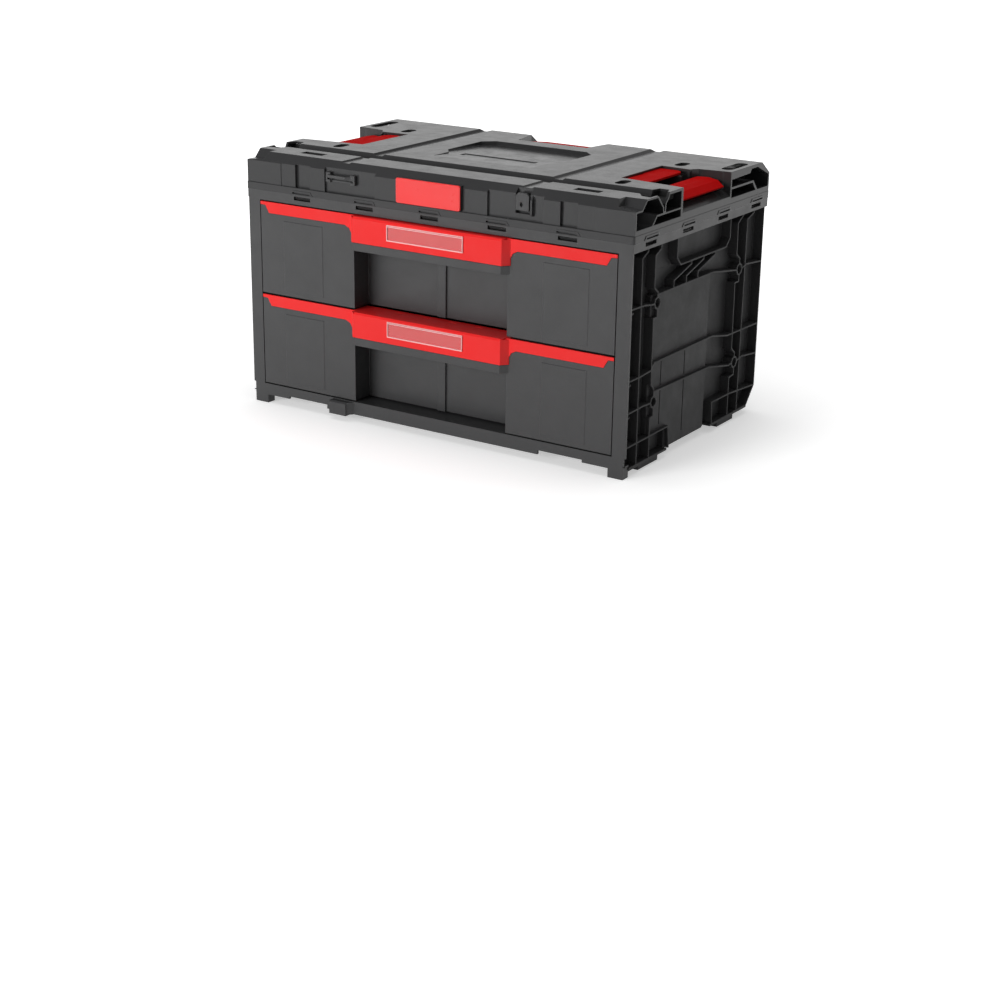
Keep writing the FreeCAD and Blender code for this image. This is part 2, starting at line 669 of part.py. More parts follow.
def top_cover():
    z = lip_top
    half = lip_width / 2
    lip = prism_z(rounded_corners(half, lip_depth, lip_corner), rim_top, z)
    body = lid_section(lid_rise, lid_rise - 0.5).extrude(V(2 * lid_half, 0, 0))
    body.translate(V(-lid_half, 0, 0))
    # front corners, a little proud of the front wall
    corners = both_sides([box(lid_half - 55.5, lid_half, lid_front - 0.8, lid_front + 1, z - 1,
                              z + front_wall_rise)])
    lid = fuse([lip, body] + corners)
    arch, slit, tongue = clip_parts()
    arches, slits, tongues = round_lip([arch]), round_lip([slit]), round_lip([tongue])
    # flange beside the lock slider, and the rests that carry the latch hooks
    flange_x = lock_x + lock_half + 3.4
    flange = prism_x([(lid_front - 1.4, z + 8), (lid_front - 1.4, z + 26), (lid_front + 9, z + 37),
                      (lid_front + 9, z + 6), (lid_front + 2, z + 6)], flange_x, flange_x + 2.5)
    hook_rest = z + hook_top - hook_thick - fit
    rests = both_sides([box(bay_inner - 1, bay_inner + 38.5, y - 3, y + 3, z + bay_floor - 1, hook_rest)
                        for y in (142, 215)])
    # bracket of the lever pin on the rear wall of the bay
    rests += both_sides([box(lever_axis_x - 12, lever_axis_x - 9.5, 227.5, 240, z + bay_floor - 1,
                             z + lid_rise - 2)])
    tools = front_wall_cuts() + groove_cuts() + plate_cuts() + lid_hollows() + slits
    tools += both_sides(end_cells() + latch_bay())
    lid = lid.fuse(arches)
    lid = lid.cut(tools)
    lid = lid.fuse(rests + [flange] + tongues)
    holes = both_sides([rod((lever_axis_x, bay_front - 3, z + lever_axis_z), (0, 1, 0),
                            pin_r + 0.02, bay_rear - bay_front + 5.5)])
    holes.append(rod((-notch_half - 6, rear_axis_y, z + rear_axis_z), (1, 0, 0), pin_r + 0.02,
                     2 * notch_half + 12))
    return cut(lid, holes)


# Latches

def latch_pin(axis_x):
    z = lip_top + lever_axis_z
    return rod((axis_x, bay_front - 2.5, z), (0, 1, 0), pin_r, bay_rear - bay_front + 4.5)


def latch_lever():
    """Right lever: a curved paddle on a hub."""
    z = lip_top
    axis = lever_axis_x
    y0, y1 = 125.5, 241.0
    paddle = prism_y([(axis - 3.5, z + 31.4), (axis + 12, z + 31.4), (axis + 24, z + 29.2),
                      (axis + 35.5, z + 23.6), (axis + 35, z + 21.8), (axis + 23, z + 26.6),
                      (axis + 11, z + 28.6), (axis - 3.5, z + 28.6)], y0, y1)
    hub = prism_y([(axis - 4, z + 29), (axis - 4, z + 22), (axis - 2, z + 20.8), (axis + 2, z + 20.8),
                   (axis + 4, z + 22), (axis + 4, z + 29)], y0, 236)
    bore = rod((axis, y0 - 1, z + lever_axis_z), (0, 1, 0), pin_r + pin_fit, 113)
    web = box(axis, axis + 27, 178, 180, z + 23.5, z + 27)
    corners = [prism_z([(axis + 22, y1 + 1), (axis + 36, y1 + 1), (axis + 36, y1 - 7)], z + 15, z + 35),
               prism_z([(axis - 4, y1 + 1), (axis - 4, y1 - 4), (axis + 10, y1 + 1)], z + 15, z + 35)]
    return cut(fuse([paddle, hub, web]), [bore] + corners)


def latch_hook():
    """Right hook: a flat plate with a notch, under the edge of the pad."""
    z = lip_top + hook_top
    x = bay_inner
    outline = [(x + 9 + a, 126.5 + b) for a, b in rounded_corners(24.5, 105, 12, 5)]
    plate = prism_z(outline, z - hook_thick, z)
    plate = plate.fuse(box(x - 15.5, x + 9, 126.5, 231.5, z - hook_thick, z))
    notch = prism_z([(x - 18, 140), (x - 2, 140), (x + 1.5, 184), (x - 8, 190), (x - 18, 190)],
                    z - 10, z + 5)
    return cut(plate, [notch])


def rear_latch():
    """Catch at the back of the lid that turns on a cross pin, its front edge level with the lid."""
    z = lip_top
    x = rear_latch_half
    y = rear_axis_y
    plate = prism_x([(notch_front + 1.5, z + lid_rise - 0.8), (y + 5, z + 31), (y + 11, z + 28),
                     (y + 11, z + 22), (y + 8.5, z + 22), (y + 8.5, z + 26), (y + 4, z + 28.2),
                     (notch_front + 1.5, z + lid_rise - 3.6)], -x, x)
    hub = prism_x([(y - 4, z + 30), (y - 4, z + 22), (y - 2, z + 20.8), (y + 2, z + 20.8),
                   (y + 4, z + 22), (y + 4, z + 29)], -x, x)
    bore = rod((-x - 1, y, z + rear_axis_z), (1, 0, 0), pin_r + pin_fit, 2 * x + 2)
    return cut(fuse([plate, hub]), [bore])


def rear_latch_pin():
    reach = notch_half + 5
    return rod((-reach, rear_axis_y, lip_top + rear_axis_z), (1, 0, 0), pin_r, 2 * reach)


# Pieces on the front of the lid

def nameplate():
    """Plain red plate on its pad, with nothing on it."""
    outline = rounded_corners(nameplate_half, nameplate_height, 2.5, 3)
    return prism_y([(x, lip_top + 0.8 + z) for x, z in outline], -2.2, 0.3)


def nameplate_pad():
    z = lip_top
    top = z + nameplate_height + 0.4
    half = nameplate_half - 0.4
    return prism_x([(0.3, z + 1.2), (0.3, top), (lid_front + 2.9, top), (lid_front, top - 2.6),
                    (lid_front, z + 1.2)], -half, half)


def lock_slider():
    """Tab with an eye that slides up and down in its pocket."""
    z = lip_top
    x0, x1 = lock_x - lock_half, lock_x + lock_half
    bottom = z + lock_bottom
    face = prism_y([(x0, bottom), (x1, bottom), (x1, bottom + 18), (x1 - 3.6, bottom + 21.7),
                    (x0 + 3.6, bottom + 21.7), (x0, bottom + 18)], lid_front + 1, lid_front + 4)
    foot = box(x0 + 2, x1 - 2, lid_front + 3.8, lock_back, bottom, bottom + 2.5)
    stem = box(lock_x - 3, lock_x + 3, lid_front + 3.8, lock_back, bottom, bottom + 4)
    ex, ez = lock_x - 1.5, bottom + 7.4
    eye = prism_y([(ex - 0.6, ez + 2.9), (ex + 1.2, ez + 1.9), (ex + 1.9, ez), (ex + 0.7, ez - 2.9),
                   (ex - 1.1, ez - 2.1), (ex - 1.9, ez)], 0, 20)
    return cut(fuse([face, foot, stem]), [eye])


def front_loop():
    """Strap loop on the front of the lid: a bridge between two upright end lugs."""
    z = lip_top
    back = lid_front + recess_step
    bridge = prism_z([(-158, back), (-154, -2.5), (-127, -2.5), (-117, back), (-123.5, back),
                      (-129, 0.3), (-150.5, 0.3), (-153.5, back)], z + 20, z + 23.5)
    lugs = []
    for x0, x1, z0, side in ((-159.8, -152.8, 13.8, 1), (-121.3, -114.3, 13.0, -1)):
        lug = box(x0, x1, 1.2, back, z + z0, z + z0 + 12.4)
        slot_x = sorted((x0 + (x1 - x0) / 2 - side * 1.2, x0 + (x1 - x0) / 2 + side * 6))
        lugs.append(lug.cut(box(*slot_x, 0, back - 1.2, z + z0 + 3.2, z + z0 + 6.2)))
    lower = box(-154, -120, back - 2.4, back, z + 14.5, z + 16.5)
    return fuse([bridge, lower] + lugs)


# Drawers, modelled in place for the lower drawer

def trim_side_outline(grow=0.0):
    """Front view of the red strip beside its middle, or the seat that holds it with a gap round it."""
    half = front_width / 2
    z1 = front_bottom + front_height
    recess = recess_width / 2
    low = z1 - trim_drop - grow
    return [(recess + 2 - grow, z1 + grow), (half + grow, z1 + grow), (half + grow, z1 - 4 - grow),
            (half - 8, z1 - 4.4 - grow), (half - 14, low), (recess + 14, low),
            (recess + 7 + grow, low - 3.5), (recess + 4 + grow, low - 9),
            (recess + 2 + grow, z1 - trim_centre_drop - grow),
            (recess + 2 - grow, z1 - trim_centre_drop - grow)]


def front_panel():
    """Grey front with the finger recess and the grip band."""
    half = front_width / 2
    z0, z1 = front_bottom, front_bottom + front_height
    recess = recess_width / 2
    face = front_face
    seat = face + trim_thick + fit
    # closed hollow block beside the recess, with its wall set back behind the red strip
    block = box(recess, half, face, front_back, z0, z1 - 1)
    low_hollow = box(recess + wall, half - wall, face + wall, front_back - wall, z0 + wall,
                     z1 - trim_centre_drop - 2)
    high_hollow = box(recess + wall, half - wall, seat + wall, front_back - wall, z0 + wall,
                      z1 - 1 - wall)
    field_in, field_out = recess + 49.5, half - 36.2
    field = prism_z([(field_in, face + 0.5), (field_in + 1.5, face - 0.7),
                     (field_out - 1.5, face - 0.7), (field_out, face + 0.5)],
                    z0 + 6, z1 - trim_drop - 8)
    side = [block.cut([low_hollow, high_hollow]), field]
    bulge = -handle_reach + trim_thick + 0.2
    top = z1 - trim_thick - 0.2
    band_bottom = z1 - band_drop
    band_top = z1 - trim_centre_drop - 0.4
    middle = [
        # back wall of the recess with its upright rib
        box(-recess - 1, recess + 1, recess_face, front_back, z0, z1 - 1),
        box(-6.2, 6.2, recess_face - 2.6, recess_face + 1, z0, z1 - 5),
        # shelf and grip band
        box(-trim_half + 4, trim_half - 4, bulge, front_back, top - wall, top),
        box(-recess, recess, face + 5, front_back, top - wall, top),
        prism_x([(bulge, top), (bulge, band_top), (-handle_reach + 0.4, band_top),
                 (-handle_reach + 0.4, band_bottom), (bulge + 3.2, band_bottom), (bulge + 3.2, top)],
                -trim_half + 3, trim_half - 3),
    ]
    # shoulders from the band to the face plates
    shoulder = prism_z([(trim_half - 4, -handle_reach + 0.4), (trim_half - 1, -handle_reach + 0.4),
                        (recess + 3, face), (recess + 3, face + 4), (recess - 1, face + 4),
                        (trim_half - 4, bulge + 3.2)], band_bottom, band_top)
    upper = prism_z([(trim_half - 4, bulge), (trim_half - 1.7, bulge), (recess + 0.7, seat),
                     (recess + 6, seat), (recess + 6, face + 6), (recess - 1, face + 6),
                     (trim_half - 4, bulge + 3.2)], z1 - trim_centre_drop - 1, top)
    strip_seat = prism_y(trim_side_outline(fit), face - 3, seat)
    ramp_seat = box(recess - 1, recess + 4 + fit, face - 3, seat, z1 - trim_centre_drop - fit, z1 + 1)
    shelf_seat = box(recess - 1, recess + 3 + fit, face - 3, recess_face, z1 - trim_thick - fit, z1)
    plates = cut(fuse(both_sides(side)), both_sides([strip_seat, ramp_seat, shelf_seat]))
    return fuse([plates] + middle + both_sides([shoulder, upper]))


def handle_trim():
    """Red strip along the top of the front, bulged in the middle, with a top shelf."""
    z1 = front_bottom + front_height
    recess = recess_width / 2
    face = front_face - 0.5
    side = prism_y(trim_side_outline(), face, face + trim_thick)
    ramp = prism_z([(trim_half - 1, -handle_reach), (trim_half, -handle_reach), (recess + 4, face),
                    (recess + 4, face + trim_thick), (recess + 1, face + trim_thick),
                    (trim_half - 1, -handle_reach + trim_thick)], z1 - trim_centre_drop, z1)
    front, low = -handle_reach, z1 - trim_centre_drop
    shelf_back = recess_face - fit
    middle = prism_x([(front + 2, z1), (front, z1 - 2.5), (front, low), (front + trim_thick, low),
                      (front + trim_thick, z1 - trim_thick), (shelf_back, z1 - trim_thick),
                      (shelf_back, z1)], -trim_half, trim_half)
    shelf_end = prism_z([(trim_half - 1, front + 2), (recess + 3, face + 1), (recess + 3, shelf_back),
                         (trim_half - 1, shelf_back)], z1 - trim_thick, z1)
    slots = [box(x - 6, x + 6, shelf_back - 9, shelf_back - 7.4, z1 - 5, z1 + 1)
             for x in (-60, -20, 20, 60)]
    ramp_top = both_sides([box(trim_half + 2, recess + 6, -handle_reach - 1, face - 0.01, z1 - 1, z1 + 1)])
    return cut(fuse([middle] + both_sides([side, ramp, shelf_end])), slots + ramp_top)


def label_window():
    """Clear label cover on the bulged middle of the red strip."""
    z1 = front_bottom + front_height - 4.0
    y1 = -handle_reach
    half = window_width / 2
    window = box(-half, half, y1 - window_thick, y1, z1 - window_height, z1)
    well = box(-half + 2, half - 2, y1 - 0.8, y1 + 1, z1 - window_height + 2, z1 - 2.5)
    return window.cut(well)


def drawer_tray():
    half = tray_width / 2
    z0 = front_bottom + tray_bottom_gap
    z1 = front_bottom + front_height - tray_top_gap
    outer = box(-half, half, front_back, tray_back, z0, z1)
    inner = box(-half + tray_wall, half - tray_wall, front_back + tray_wall, tray_back - tray_wall,
                z0 + tray_wall, z1 + 1)
    flange = box(-half - 4, half + 4, front_back, tray_back + 3, z1 - rib, z1)
    return cut(fuse([outer, flange]), [inner])


# Ball slides, modelled in place for the right side of the lower drawer

def slide_channel():
    """Fixed channel on the case wall."""
    x1 = skin_in
    x0 = x1 - slide_depth
    zc = slide_z[0]
    h = slide_height / 2
    web = box(x1 - slide_sheet, x1, slide_front, slide_front + slide_length, zc - h, zc + h)
    flanges = [box(x0, x1, slide_front, slide_front + slide_length, zc + h - slide_sheet, zc + h),
               box(x0, x1, slide_front, slide_front + slide_length, zc - h, zc - h + slide_sheet)]
    end = slide_front + slide_length
    stop = box(x1 - 4, x1, end - 2, end, zc - h + 0.5, zc + h - 0.5)
    holes = [flat_rod((x1 - 3, y, zc), screw_r + screw_fit, 6) for y in (boss_front, boss_rear)]
    return cut(fuse([web, stop] + flanges), holes)


def runner():
    """Moving channel on the side of the tray."""
    x0 = tray_width / 2
    zc = slide_z[0]
    h = slide_height / 2 - slide_sheet - 2 * ball_r - 2 * fit
    length = tray_back - front_back - 4
    web = box(x0, x0 + slide_sheet, front_back, front_back + length, zc - h, zc + h)
    flanges = [box(x0, x0 + slide_depth - 1, front_back, front_back + length, zc + h - slide_sheet, zc + h),
               box(x0, x0 + slide_depth - 1, front_back, front_back + length, zc - h, zc - h + slide_sheet)]
    return fuse([web] + flanges)


def small_ball(centre, radius):
    """Ball with flat facets: six square sides and eight corners cut off."""
    cube = box(-radius, radius, -radius, radius, -radius, radius)
    tip = 2 * radius
    corners = [V(tip, 0, 0), V(0, tip, 0), V(-tip, 0, 0), V(0, -tip, 0)]
    sides = []
    for top in (V(0, 0, tip), V(0, 0, -tip)):
        for i in range(4):
            sides.append(polygon_face([corners[i], corners[(i + 1) % 4], top]))
    ball = cube.common(Part.Solid(Part.Shell(sides)))
    ball.translate(V(*centre))
    return ball


def ball_cage():
    """Strip between the channels that carries the balls."""
    x0 = skin_in - slide_depth + 1
    zc = slide_z[0]
    row = slide_height / 2 - slide_sheet - fit - ball_r
    strips = []
    holes = []
    balls = []
    y1 = cage_front + cage_length
    web_x = skin_in - slide_sheet - 2.2
    web = box(web_x - cage_sheet, web_x, cage_front, y1, zc - row, zc + row)
    for sign in (1, -1):
        z = zc + sign * row
        strips.append(box(x0, web_x, cage_front, y1, z - cage_sheet / 2, z + cage_sheet / 2))
        for share in (0.25, 0.75):
            y = cage_front + cage_length * share
            ball_x = x0 + 3.2
            window = ball_r + 0.15
            holes.append(box(ball_x - window, ball_x + window, y - window, y + window, z - 2, z + 2))
            balls.append(small_ball((ball_x, y, z), ball_r))
    return Part.makeCompound([cut(fuse([web] + strips), holes)] + balls)


def slide_screws():
    """Four screws on the right that hold the two fixed channels in the bosses."""
    screws = []
    for depth in (boss_front, boss_rear):
        for height in slide_z:
            x = skin_in - slide_sheet
            head = flat_rod((x - 1.0, depth, height), screw_head_r, 1.0)
            shank = flat_rod((x - 0.5, depth, height), screw_r, slide_sheet + wall + boss_core - 1)
            screws.append(fuse([head, shank]))
    return screws


def save(name, shape):
    shape = shape.copy()
    shape.translate(V(0, front_shift, 0))
    shape.exportStep("parts/" + name + ".step")
    print(name, "solids", len(shape.Solids), "valid", shape.isValid())


def raised(shape):
    """Copy of a lower drawer piece at the upper drawer."""
    shape = shape.copy()
    shape.translate(V(0, 0, front_pitch))
    return shape


def main():
    os.makedirs("parts", exist_ok=True)
    frame, floor, back = front_frame(), case_floor(), back_wall()
    rim = rim_band(frame)
    save("front_frame", frame)
    save("case_floor", floor)
    save("back_wall", back)
    save("rim_band", rim)
    for name, piece in side_wall([frame, floor, back, rim]).items():
        save("right_" + name, piece)
        save("left_" + name, mirrored(piece))
    save("top_cover", top_cover())
    save("nameplate", nameplate())
    save("nameplate_pad", nameplate_pad())
    save("front_loop", front_loop())
    save("lock_slider", lock_slider())
    for side, turn in (("right", lambda s: s), ("left", mirrored)):
        save(side + "_latch_pin", turn(latch_pin(lever_axis_x)))
        save(side + "_latch_lever", turn(latch_lever()))
        save(side + "_latch_hook", turn(latch_hook()))
    save("rear_latch", rear_latch())
    save("rear_latch_pin", rear_latch_pin())
    front, trim, window, tray = front_panel(), handle_trim(), label_window(), drawer_tray()
    channel, inner = slide_channel(), runner()
    cages = Part.makeCompound(both_sides([ball_cage()]))
    for level, lift in (("lower", lambda s: s), ("upper", raised)):
        save(level + "_front_panel", lift(front))
        save(level + "_handle_trim", lift(trim))
        save(level + "_label_window", lift(window))
        save(level + "_drawer_tray", lift(tray))
        for side, turn in (("right", lambda s: s), ("left", mirrored)):
            save(level + "_" + side + "_channel", turn(lift(channel)))
            save(level + "_" + side + "_runner", turn(lift(inner)))
        save(level + "_ball_cages", lift(cages))
    save("slide_screws", Part.makeCompound(both_sides(slide_screws())))


main()
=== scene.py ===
import math

import bmesh
import bpy
from mathutils import Matrix, Vector


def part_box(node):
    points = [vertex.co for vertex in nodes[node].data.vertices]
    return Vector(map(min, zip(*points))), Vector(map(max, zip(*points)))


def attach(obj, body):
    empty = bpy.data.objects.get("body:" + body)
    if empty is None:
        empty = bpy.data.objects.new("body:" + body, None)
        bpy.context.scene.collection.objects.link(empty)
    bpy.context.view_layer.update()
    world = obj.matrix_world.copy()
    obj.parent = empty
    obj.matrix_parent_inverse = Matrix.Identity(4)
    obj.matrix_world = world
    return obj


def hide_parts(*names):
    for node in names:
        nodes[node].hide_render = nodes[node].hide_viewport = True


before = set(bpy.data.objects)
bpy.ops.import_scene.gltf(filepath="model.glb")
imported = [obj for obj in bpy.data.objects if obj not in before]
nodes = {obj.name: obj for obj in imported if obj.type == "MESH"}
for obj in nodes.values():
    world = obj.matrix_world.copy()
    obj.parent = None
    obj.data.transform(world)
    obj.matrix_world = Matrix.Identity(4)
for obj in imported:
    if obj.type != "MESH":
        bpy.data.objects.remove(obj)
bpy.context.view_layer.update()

# The camera stands where the photograph was taken from, in metres and degrees
camera_place = (1.3392, -2.0896, 0.7655)
camera_azimuth = 32.68
camera_dip = 19.98
camera_roll = 0.87
focal_pixels = 1912.0       # focal length in pixels of the 1000 pixel frame
frame_pixels = 1000.0

# Lamps: place, size in metres, power in watts, and the point that they face
lamps = {
    "front_lamp": ((-1.1, -3.5, 0.8), 1.6, 108.0, (0.0, -0.18, 0.15)),
    "top_lamp": ((-0.2, 0.2, 3.0), 2.4, 44.0, (0.0, 0.0, 0.3)),
}
fill_light = 0.22           # world light on the object
low_sky = 0.80              # world seen in surfaces near the horizon
high_sky = 0.065            # and overhead, as in a white room with a dark ceiling
sky_start = 0.36            # heights between which the one turns into the other
sky_end = 0.62
full_white = (1.0, 1.0, 1.0, 1.0)

# Floor, in metres: its glow rises from a share of white near the object to full white
floor_size = 30.0
glow_share = 0.45
glow_start = 0.3
glow_end = 1.2
floor_lit = (0.35, 0.35, 0.35, 1.0)     # as it lights the object
floor_seen = (0.8, 0.8, 0.8, 1.0)       # as the camera and reflections see it

# Colours, linear
grey = (0.036, 0.036, 0.037)
red = (0.80, 0.022, 0.022)
latch_red = (0.46, 0.004, 0.004)
pane_pink = (0.62, 0.42, 0.42)
edge_pink = (0.90, 0.50, 0.50)
zinc = (0.60, 0.61, 0.62)
# painted shade: the linings of the channel pockets are darker than the grey of the lid
pocket_shade_grey = (0.026, 0.026, 0.026)

# Shading of edges: samples of the bevel node, and how much lighter the painted highlight along an edge is
edge_samples = 6
edge_highlight_factor = 2.2

# Rounded edges, in metres
trim_edge = 0.0009          # red strips of the drawers and red plate
trim_segments = 3
latch_edge = 0.0005         # latches, loop and lock slider
panel_edge = 0.0004         # drawer fronts
bar_edge = 0.0002           # bars and linings
edge_segments = 2

# Points closer than this are joined before edges are rounded, in metres. Angles are in degrees: below the
# first, two faces count as one flat face, and above the second, their edge is rounded
weld_gap = 0.00001
flat_angle = 0.5
sharp_angle = 25.0

# Label holders: heights of the bars of the frame from its top, widths and depths, in metres
upper_bars = ((0.0, 0.0010), (0.0016, 0.0026))
lower_bar = 0.0013
side_bar = 0.0011
pane_depth = 0.0007         # pane behind the front of its frame
pane_thick = 0.0008

# Pockets at both ends of the lid's stacking channel: x from the side of the lid, and outlines as pairs of
# y from the front and z from the top of the lid, in metres
pocket_out = 0.0041
pocket_width = 0.020
lining = 0.0010
pocket_side = ((0.0815, -0.0090), (0.0834, -0.0070), (0.0856, -0.0032),
               (0.0976, -0.0032), (0.0976, -0.0090))
pocket_floor = ((0.0805, -0.0100), (0.0815, -0.0090), (0.0976, -0.0090), (0.0976, -0.0100))
pocket_back = ((0.0966, -0.0090), (0.0966, -0.0032), (0.0976, -0.0032), (0.0976, -0.0090))


# Materials

class Shader:
    """A material, or the world, whose nodes are added by short calls."""

    def __init__(self, name, owner=None):
        self.owner = owner or bpy.data.materials.new(name)
        self.owner.use_nodes = True
        self.tree = self.owner.node_tree
        self.tree.nodes.clear()

    def add(self, kind, settings=None, **values):
        """A node. A value that is a socket is linked, and any other is written in the node's socket."""
        node = self.tree.nodes.new("ShaderNode" + kind)
        for key, value in (settings or {}).items():
            setattr(node, key, value)
        for key, value in values.items():
            self.put(node, key.replace("_", " "), value)
        return node

    def put(self, node, key, value):
        """Sets or links a socket, given by its name or as s and its number."""
        numbered = key[0] == "s" and key[1:].isdigit()
        socket = node.inputs[int(key[1:]) if numbered else key]
        if isinstance(value, bpy.types.NodeSocket):
            self.tree.links.new(value, socket)
        else:
            socket.default_value = value

    def maths(self, kind, a, b):
        return self.add("Math", {"operation": kind}, s0=a, s1=b).outputs[0]

    def span(self, value, low, high, start=0.0, end=1.0):
        """The value, mapped from low..high to start..end."""
        return self.add("MapRange", Value=value, From_Min=low, From_Max=high, To_Min=start,
                        To_Max=end).outputs[0]

    def blend(self, share, a, b):
        """Colour between a and b, by share."""
        node = self.add("Mix", {"data_type": "RGBA"})
        for index, value in ((0, share), (6, a), (7, b)):
            self.put(node, f"s{index}", value)
        return node.outputs[2]

    def number(self, share, a, b):
        """Number between a and b, by share."""
        node = self.add("Mix", {"data_type": "FLOAT"})
        for index, value in ((0, share), (2, a), (3, b)):
            self.put(node, f"s{index}", value)
        return node.outputs[0]

    def finish(self, surface, output="OutputMaterial"):
        self.add(output, Surface=surface)
        return self.owner


def shade(color, factor):
    """The colour made lighter or darker, with an alpha of 1."""
    return tuple(min(1.0, c * factor) for c in color) + (1.0,)


def plastic(name, color, roughness, gloss=0.5, edge=0.0007, painted_edge_highlight=0.35, grain=0.12, cloud=0.07,
            coat=0.0):
    """Moulded plastic: cloudy tone, fine grain, soft edges that carry a painted highlight, rubbed
    streaks.
    """
    s = Shader(name)
    place = s.add("TexCoord").outputs["Object"]
    clouds = s.add("TexNoise", Vector=place, Scale=7.0, Detail=5.0, Roughness=0.6).outputs["Fac"]
    base = s.blend(s.span(clouds, 0.3, 0.7), shade(color, 1 - cloud), shade(color, 1 + cloud))
    soft = s.add("Bevel", {"samples": edge_samples}, Radius=edge).outputs["Normal"]
    flat = s.add("NewGeometry").outputs["Normal"]
    facing = s.add("VectorMath", {"operation": "DOT_PRODUCT"}, s0=soft, s1=flat).outputs["Value"]
    # painted highlight: the colour is made lighter along sharp edges
    painted_highlight_mask = s.span(facing, 0.995, 0.85, 0.0, painted_edge_highlight)
    base = s.blend(painted_highlight_mask, base, shade(color, edge_highlight_factor))
    spark = s.add("TexNoise", Vector=place, Scale=2300.0, Detail=2.0).outputs["Fac"]
    scuff = s.add("TexNoise", Vector=place, Scale=38.0, Detail=6.0, Roughness=0.7).outputs["Fac"]
    rough = s.span(s.maths("ADD", s.maths("MULTIPLY", spark, 0.35), scuff), 0.45, 0.9,
                   roughness - 0.07, roughness + 0.08)
    bump = s.add("Bump", Strength=grain, Distance=0.00012, Height=spark, Normal=soft).outputs["Normal"]
    body = s.add("BsdfPrincipled", Base_Color=base, Roughness=rough, Specular_IOR_Level=gloss,
                 Coat_Weight=coat, Coat_Roughness=0.25, Normal=bump)
    return s.finish(body.outputs["BSDF"])


def clear_plastic(name, color, share=0.16):
    """Clear cover, faintly milky, with fine scratches. Each face holds back a share of the light."""
    s = Shader(name)
    place = s.add("TexCoord").outputs["Object"]
    haze = s.add("TexNoise", Vector=place, Scale=60.0, Detail=5.0).outputs["Fac"]
    lines = s.add("TexWave", {"bands_direction": "X"}, Vector=place, Scale=210.0, Distortion=3.0,
                  Detail=2.0).outputs["Fac"]
    bump = s.add("Bump", Strength=0.04, Distance=0.0001, Height=lines).outputs["Normal"]
    body = s.add("BsdfPrincipled", Base_Color=s.blend(haze, shade(color, 0.92), shade(color, 1.08)),
                 Roughness=s.span(haze, 0.3, 0.7, 0.12, 0.22), Alpha=share, Normal=bump)
    return s.finish(body.outputs["BSDF"])


def plated_steel(name, color):
    """Zinc-plated sheet: soft spangle, rolling lines along the rail and a few dull spots."""
    s = Shader(name)
    place = s.add("TexCoord").outputs["Object"]
    drawn = s.add("Mapping", Vector=place, Scale=(900.0, 12.0, 900.0)).outputs[0]
    lines = s.add("TexNoise", Vector=drawn, Scale=1.0, Detail=4.0).outputs["Fac"]
    spots = s.add("TexVoronoi", Vector=place, Scale=170.0).outputs["Distance"]
    soft = s.add("Bevel", {"samples": edge_samples}, Radius=0.0004).outputs["Normal"]
    bump = s.add("Bump", Strength=0.1, Distance=0.0001, Height=lines, Normal=soft).outputs["Normal"]
    tone = s.blend(s.span(spots, 0.1, 0.8), shade(color, 0.85), shade(color, 1.1))
    body = s.add("BsdfPrincipled", Base_Color=tone, Metallic=1.0,
                 Roughness=s.span(lines, 0.3, 0.7, 0.26, 0.42), Normal=bump)
    return s.finish(body.outputs["BSDF"])


# The CAD nodes: their names, materials and rounded edges

def levels(*parts):
    """Names of the parts that both drawers have."""
    return [f"{level}_{part}" for level in ("lower", "upper") for part in parts]


def sides(*parts):
    """Names of the parts that both sides have."""
    return [f"{side}_{part}" for side in ("right", "left") for part in parts]


def dress(names, material):
    """Gives CAD nodes their material."""
    for name in names:
        mesh = nodes[name].data
        mesh.materials.clear()
        mesh.materials.append(material)


def dress_all():
    """Gives every CAD node its material."""
    dress(["front_frame", "case_floor", "back_wall", "rim_band", "nameplate_pad", "front_loop",
           "lock_slider"] + levels("front_panel", "drawer_tray"),
          plastic("case_plastic", grey, 0.42))
    dress(sides("side_wall", "hand_hold", "upper_ribs"), plastic("side_plastic", grey, 0.6, gloss=0.3))
    dress(["top_cover"], plastic("lid_plastic", grey, 0.2, gloss=0.25))
    dress(["nameplate"],
          plastic("plate_red", red, 0.32, painted_edge_highlight=0.2, grain=0.03, cloud=0.03, coat=0.3))
    dress(levels("handle_trim"),
          plastic("handle_red", red, 0.36, gloss=0.3, painted_edge_highlight=0.15, grain=0.05, cloud=0.03))
    dress(sides("latch_lever", "latch_hook") + ["rear_latch"],
          plastic("latch_red", latch_red, 0.7, gloss=0.04, painted_edge_highlight=0.1, grain=0.05, cloud=0.05))
    dress(sides("latch_pin") + ["rear_latch_pin", "slide_screws"]
          + levels("ball_cages", "right_channel", "left_channel", "right_runner", "left_runner"),
          plated_steel("zinc_plated", zinc))


def soften(names, width, segments=edge_segments):
    """Rounds the sharp edges of CAD nodes by modifiers, after their flat faces are joined."""
    for name in names:
        piece = nodes[name]
        weld = piece.modifiers.new("weld", "WELD")
        weld.merge_threshold = weld_gap
        join = piece.modifiers.new("join", "DECIMATE")
        join.decimate_type = "DISSOLVE"
        join.angle_limit = math.radians(flat_angle)
        edge = piece.modifiers.new("edge", "BEVEL")
        edge.width = width
        edge.segments = segments
        edge.limit_method = "ANGLE"
        edge.angle_limit = math.radians(sharp_angle)


# Pieces made here

